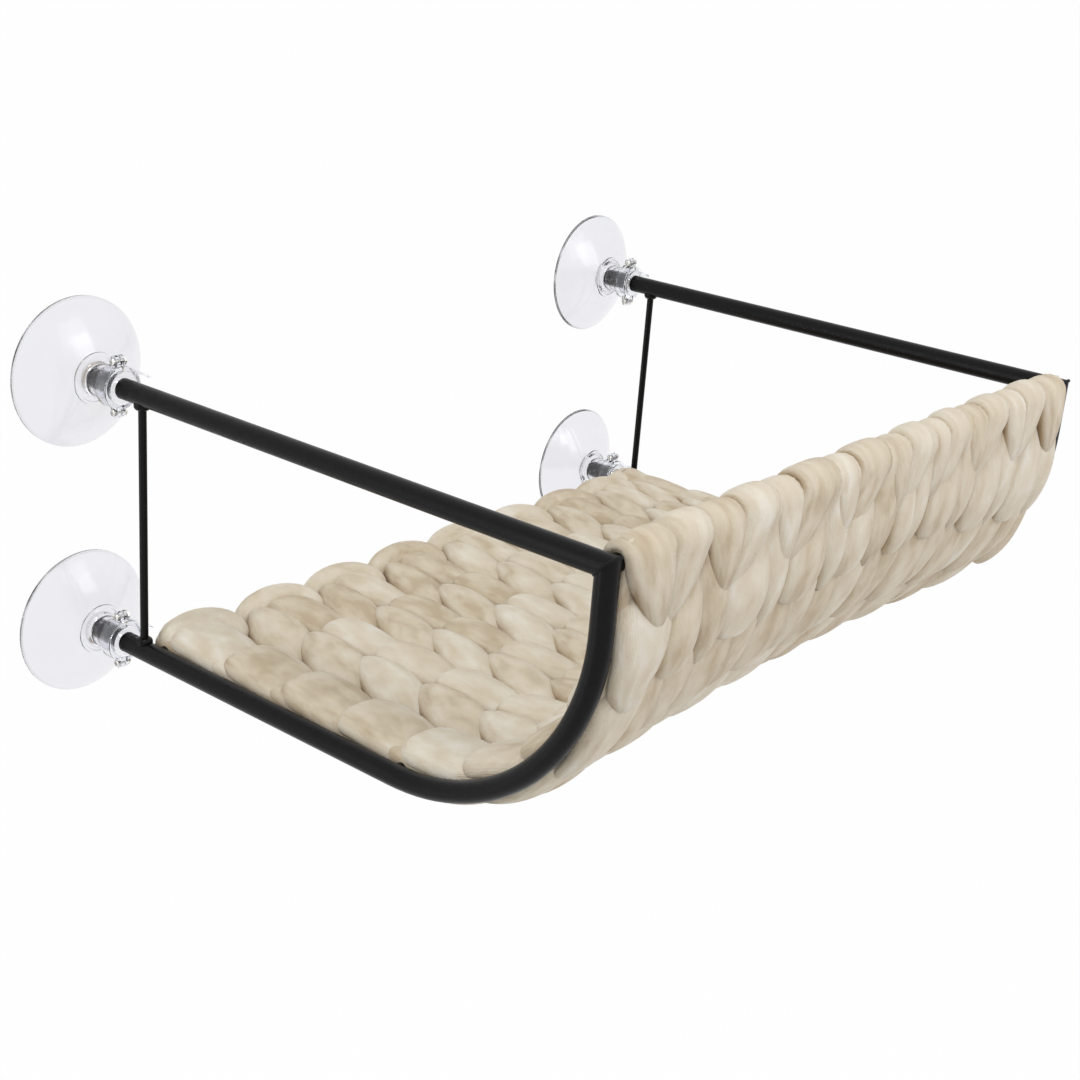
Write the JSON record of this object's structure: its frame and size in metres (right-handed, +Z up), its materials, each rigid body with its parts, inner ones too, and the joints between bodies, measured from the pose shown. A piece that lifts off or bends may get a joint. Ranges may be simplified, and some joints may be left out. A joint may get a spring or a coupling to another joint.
{
  "type": "window mounted cat perch",
  "caption": "Window perch for a cat: J-shaped black tube frame held by clear clamped suction cups, with a thick knitted mat looped over its rails.",
  "frame": {"origin": "on the window glass, midway between the side frames, level with the axes of the bottom tubes", "axes": "+X along the window to the right seen from the room, +Y out through the glass, +Z up; the perch reaches into the room along -Y"},
  "size_m": [0.593, 0.418, 0.256],
  "materials": {
    "black_coating": "satin black powder coat on steel tube",
    "yarn": "short soft velvet pile, cream beige",
    "clear_cup": "clear soft plastic, smooth",
    "clear_collar": "clear hard plastic, polished",
    "bright_steel": "bright plated steel"
  },
  "bodies": {
    "frame": {"left_top_arm": "black_coating", "left_bent_tube": "black_coating", "left_brace_rod": "black_coating", "right_top_arm": "black_coating", "right_bent_tube": "black_coating", "right_brace_rod": "black_coating", "front_rail": "black_coating", "rear_rail": "black_coating", "floor_rail": "black_coating", "knit_mat": "yarn"},
    "left_top_cup": {"left_top_suction_cup": "clear_cup", "left_top_collar_left_half": "clear_collar", "left_top_collar_right_half": "clear_collar", "left_top_collar_screws": "bright_steel", "left_top_collar_nuts": "bright_steel"},
    "left_bottom_cup": {"left_bottom_suction_cup": "clear_cup", "left_bottom_collar_left_half": "clear_collar", "left_bottom_collar_right_half": "clear_collar", "left_bottom_collar_screws": "bright_steel", "left_bottom_collar_nuts": "bright_steel"},
    "right_top_cup": {"right_top_suction_cup": "clear_cup", "right_top_collar_left_half": "clear_collar", "right_top_collar_right_half": "clear_collar", "right_top_collar_screws": "bright_steel", "right_top_collar_nuts": "bright_steel"},
    "right_bottom_cup": {"right_bottom_suction_cup": "clear_cup", "right_bottom_collar_left_half": "clear_collar", "right_bottom_collar_right_half": "clear_collar", "right_bottom_collar_screws": "bright_steel", "right_bottom_collar_nuts": "bright_steel"}
  },
  "joints": [
    {"name": "left_top_cup_swivel", "type": "hinge", "parent": "frame", "child": "left_top_cup", "pos_m": [-0.25, -0.032, 0.163], "axis": [0, -1, 0], "continuous": true},
    {"name": "left_bottom_cup_swivel", "type": "hinge", "parent": "frame", "child": "left_bottom_cup", "pos_m": [-0.25, -0.032, 0], "axis": [0, -1, 0], "continuous": true},
    {"name": "right_top_cup_swivel", "type": "hinge", "parent": "frame", "child": "right_top_cup", "pos_m": [0.25, -0.032, 0.163], "axis": [0, -1, 0], "continuous": true},
    {"name": "right_bottom_cup_swivel", "type": "hinge", "parent": "frame", "child": "right_bottom_cup", "pos_m": [0.25, -0.032, 0], "axis": [0, -1, 0], "continuous": true}
  ]
}
